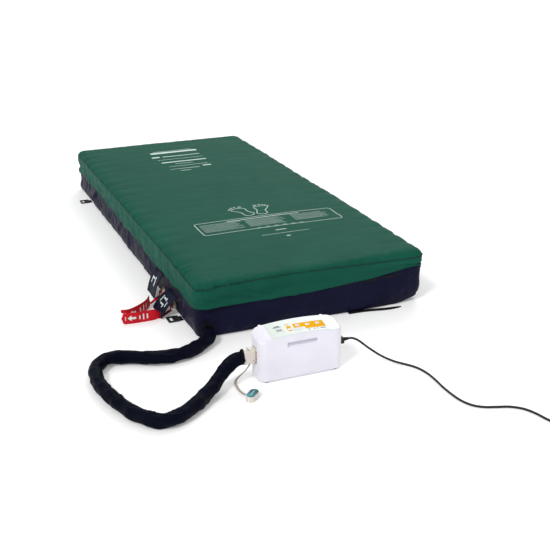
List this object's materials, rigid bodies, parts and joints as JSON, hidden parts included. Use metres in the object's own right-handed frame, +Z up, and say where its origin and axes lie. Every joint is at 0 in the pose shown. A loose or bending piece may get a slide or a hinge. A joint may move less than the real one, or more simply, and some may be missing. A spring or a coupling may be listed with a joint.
{
  "type": "pressure relief mattress",
  "caption": "Alternating-pressure air mattress in a zipped two-part cover, with its pump, air hose, resuscitation tags and mains lead, laid out on a floor.",
  "frame": {"origin": "on the floor under the middle of the mattress, on the underside of its base cover", "axes": "+X to the right side seen from the foot end, +Y from the foot end to the head end, +Z up"},
  "size_m": [1.335, 3.001, 0.2051],
  "materials": {
    "navy_cloth": "coated nylon cloth, fine weave, soft sheen",
    "green_cloth": "stretch polyurethane-coated cloth, satin",
    "zip_tape": "woven zip tape with moulded coil",
    "zip_metal": "plated die casting",
    "cell_film": "welded film",
    "air_tube": "soft extruded tube",
    "black_rubber": "matt rubber",
    "ivory_plastic": "moulded",
    "red_plastic": "moulded",
    "red_webbing": "coated red ribbon with white printed arrows",
    "black_webbing": "woven webbing",
    "black_plastic": "fine texture",
    "hose_cloth": "gathered nylon sleeve",
    "beige_plastic": "moulded, satin",
    "beige_strap": "flexible strap",
    "teal_plastic": "gloss label",
    "white_shell": "moulded, fine spark texture",
    "screw_steel": "plated",
    "panel_film": "printed membrane",
    "display_glass": "smoked window",
    "key_caps": "domed printed keys",
    "board_green": "solder-masked board",
    "cast_housing": "cast",
    "magnet_steel": "laminated steel",
    "filter_foam": "open foam",
    "lead_rubber": "matt flexible insulation"
  },
  "bodies": {
    "mattress": {"base_cover": "navy_cloth", "top_cover": "green_cloth", "zip_chain": "zip_tape", "static_air_base": "cell_film", "cell_sheet": "cell_film", "pillow_cells": "cell_film", "cells_a": "cell_film", "cells_b": "cell_film", "manifold_a": "air_tube", "manifold_b": "air_tube", "static_line": "air_tube", "hose_boot": "black_rubber", "cpr_valve_front": "ivory_plastic", "cpr_valve_rear": "ivory_plastic", "side_straps": "black_webbing", "strap_buckles": "black_plastic", "foot_strap": "black_webbing", "hose_sleeve": "hose_cloth", "hose_connector": "beige_plastic", "cap_tether": "beige_strap", "transport_cap": "beige_plastic", "cap_plate": "teal_plastic"},
    "zip_slider": {"zip_slider": "zip_metal"},
    "cpr_plug_front": {"cpr_plug_front": "red_plastic", "cpr_tag_front": "red_webbing"},
    "cpr_plug_rear": {"cpr_plug_rear": "red_plastic", "cpr_tag_rear": "red_webbing"},
    "cpr_flap_front": {"cpr_flap_front": "navy_cloth"},
    "cpr_flap_rear": {"cpr_flap_rear": "navy_cloth"},
    "pump": {"pump_case_front": "white_shell", "pump_case_back": "white_shell", "case_screws": "screw_steel", "pump_feet": "black_rubber", "control_panel": "panel_film", "display_window": "display_glass", "circuit_board": "board_green", "air_port": "beige_plastic", "inner_tubes": "air_tube", "compressor_housing": "cast_housing", "compressor_mounts": "black_rubber", "valve_body": "ivory_plastic", "valve_motor": "magnet_steel", "mains_inlet": "black_plastic", "switch_body": "black_plastic", "air_filter": "filter_foam"},
    "key_up": {"key_up": "key_caps"},
    "key_down": {"key_down": "key_caps"},
    "key_mode": {"key_mode": "key_caps"},
    "key_static": {"key_static": "key_caps"},
    "key_alarm": {"key_alarm": "key_caps"},
    "compressor_armature": {"compressor_armature": "magnet_steel"},
    "valve_disc": {"valve_disc": "ivory_plastic"},
    "power_rocker": {"power_rocker": "black_plastic"},
    "filter_cover": {"filter_cover": "white_shell"},
    "hook_left": {"hook_left": "white_shell"},
    "hook_right": {"hook_right": "white_shell"},
    "mains_lead": {"iec_connector": "lead_rubber", "mains_cord": "lead_rubber", "mains_coil": "lead_rubber", "mains_plug": "black_plastic"}
  },
  "joints": [
    {"name": "zip_run", "type": "slide", "parent": "mattress", "child": "zip_slider", "axis": [0, 1, 0], "range_m": [0, 1.78]},
    {"name": "cpr_pull_front", "type": "slide", "parent": "mattress", "child": "cpr_plug_front", "axis": [-1, 0, 0], "range_m": [0, 0.018]},
    {"name": "cpr_pull_rear", "type": "slide", "parent": "mattress", "child": "cpr_plug_rear", "axis": [-1, 0, 0], "range_m": [0, 0.018]},
    {"name": "cpr_flap_lift_front", "type": "hinge", "parent": "mattress", "child": "cpr_flap_front", "pos_m": [-0.436, -0.716, 0.0654], "axis": [0, 1, 0], "range_deg": [0, 90]},
    {"name": "cpr_flap_lift_rear", "type": "hinge", "parent": "mattress", "child": "cpr_flap_rear", "pos_m": [-0.436, -0.55, 0.0944], "axis": [0, 1, 0], "range_deg": [0, 90]},
    {"name": "hose_unplug", "type": "slide", "parent": "mattress", "child": "pump", "axis": [1, 0, 0], "range_m": [0, 0.05]},
    {"name": "press_key_up", "type": "slide", "parent": "pump", "child": "key_up", "axis": [0.0305, 0.1907, -0.9812], "range_m": [0, 0.0006], "stiffness_N_per_m": 1500},
    {"name": "press_key_down", "type": "slide", "parent": "pump", "child": "key_down", "axis": [0.0305, 0.1907, -0.9812], "range_m": [0, 0.0006], "stiffness_N_per_m": 1500},
    {"name": "press_key_mode", "type": "slide", "parent": "pump", "child": "key_mode", "axis": [-0.0011, 0.1908, -0.9816], "range_m": [0, 0.0006], "stiffness_N_per_m": 1500},
    {"name": "press_key_static", "type": "slide", "parent": "pump", "child": "key_static", "axis": [-0.0358, 0.1907, -0.981], "range_m": [0, 0.0006], "stiffness_N_per_m": 1500},
    {"name": "press_key_alarm", "type": "slide", "parent": "pump", "child": "key_alarm", "axis": [-0.0716, 0.1903, -0.9791], "range_m": [0, 0.0006], "stiffness_N_per_m": 1500},
    {"name": "armature_stroke", "type": "slide", "parent": "pump", "child": "compressor_armature", "axis": [1, 0, 0], "range_m": [-0.0015, 0.0015], "stiffness_N_per_m": 3000},
    {"name": "valve_disc_spin", "type": "hinge", "parent": "pump", "child": "valve_disc", "pos_m": [-0.322, -1.332, 0.083], "axis": [1, 0, 0], "continuous": true},
    {"name": "power_rocker_tilt", "type": "hinge", "parent": "pump", "child": "power_rocker", "pos_m": [-0.084, -1.332, 0.118], "axis": [0, -1, 0], "range_deg": [0, 16]},
    {"name": "filter_cover_pull", "type": "slide", "parent": "pump", "child": "filter_cover", "axis": [0, 1, 0], "range_m": [0, 0.015]},
    {"name": "hook_left_fold", "type": "hinge", "parent": "pump", "child": "hook_left", "pos_m": [-0.323, -1.28, 0.1225], "axis": [0, 0, 1], "range_deg": [0, 90]},
    {"name": "hook_right_fold", "type": "hinge", "parent": "pump", "child": "hook_right", "pos_m": [-0.113, -1.28, 0.1225], "axis": [0, 0, -1], "range_deg": [0, 90]},
    {"name": "mains_unplug", "type": "slide", "parent": "pump", "child": "mains_lead", "axis": [1, 0, 0], "range_m": [0, 0.02]}
  ]
}
